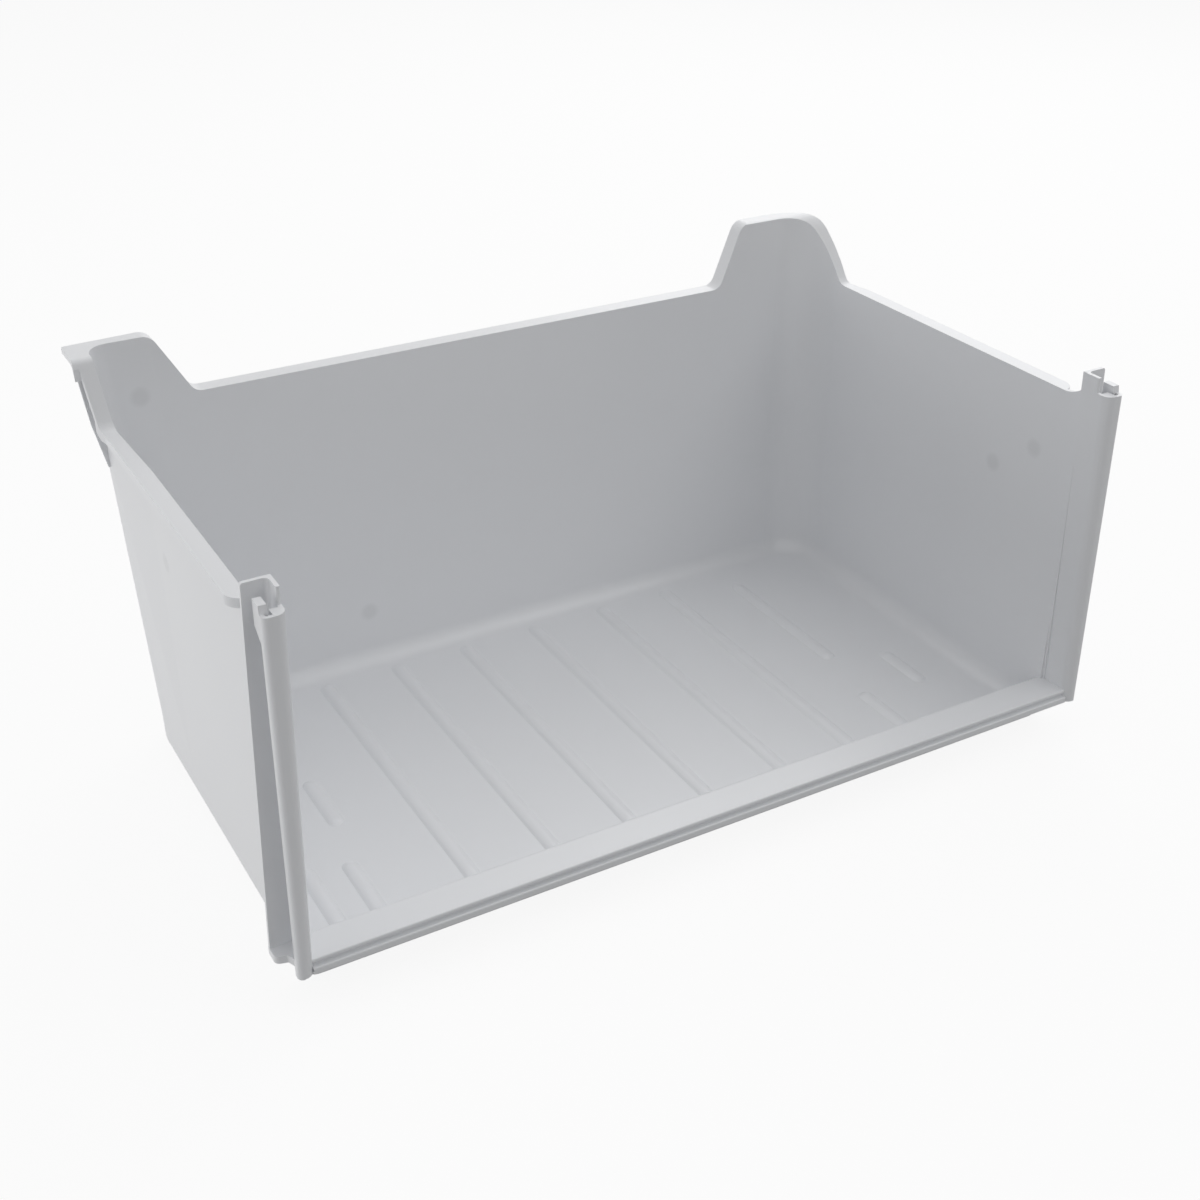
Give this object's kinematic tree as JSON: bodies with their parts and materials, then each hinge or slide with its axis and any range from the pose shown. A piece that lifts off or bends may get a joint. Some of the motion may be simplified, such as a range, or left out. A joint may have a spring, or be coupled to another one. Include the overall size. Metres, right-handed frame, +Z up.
{
  "type": "freezer drawer",
  "caption": "Open-front moulded freezer drawer with a flanged rim, raised rear ears, ribbed floor and upright clip channels for a separate front panel.",
  "frame": {"origin": "centre of the bounding box at the floor's underside", "axes": "+X across the drawer to the right seen from the open front, +Y from the open front to the back wall, +Z up"},
  "size_m": [0.453, 0.2558, 0.2204],
  "materials": {
    "moulded_plastic": "satin white injection-moulded polystyrene"
  },
  "bodies": {
    "root": {"drawer_body": "moulded_plastic"}
  },
  "joints": []
}
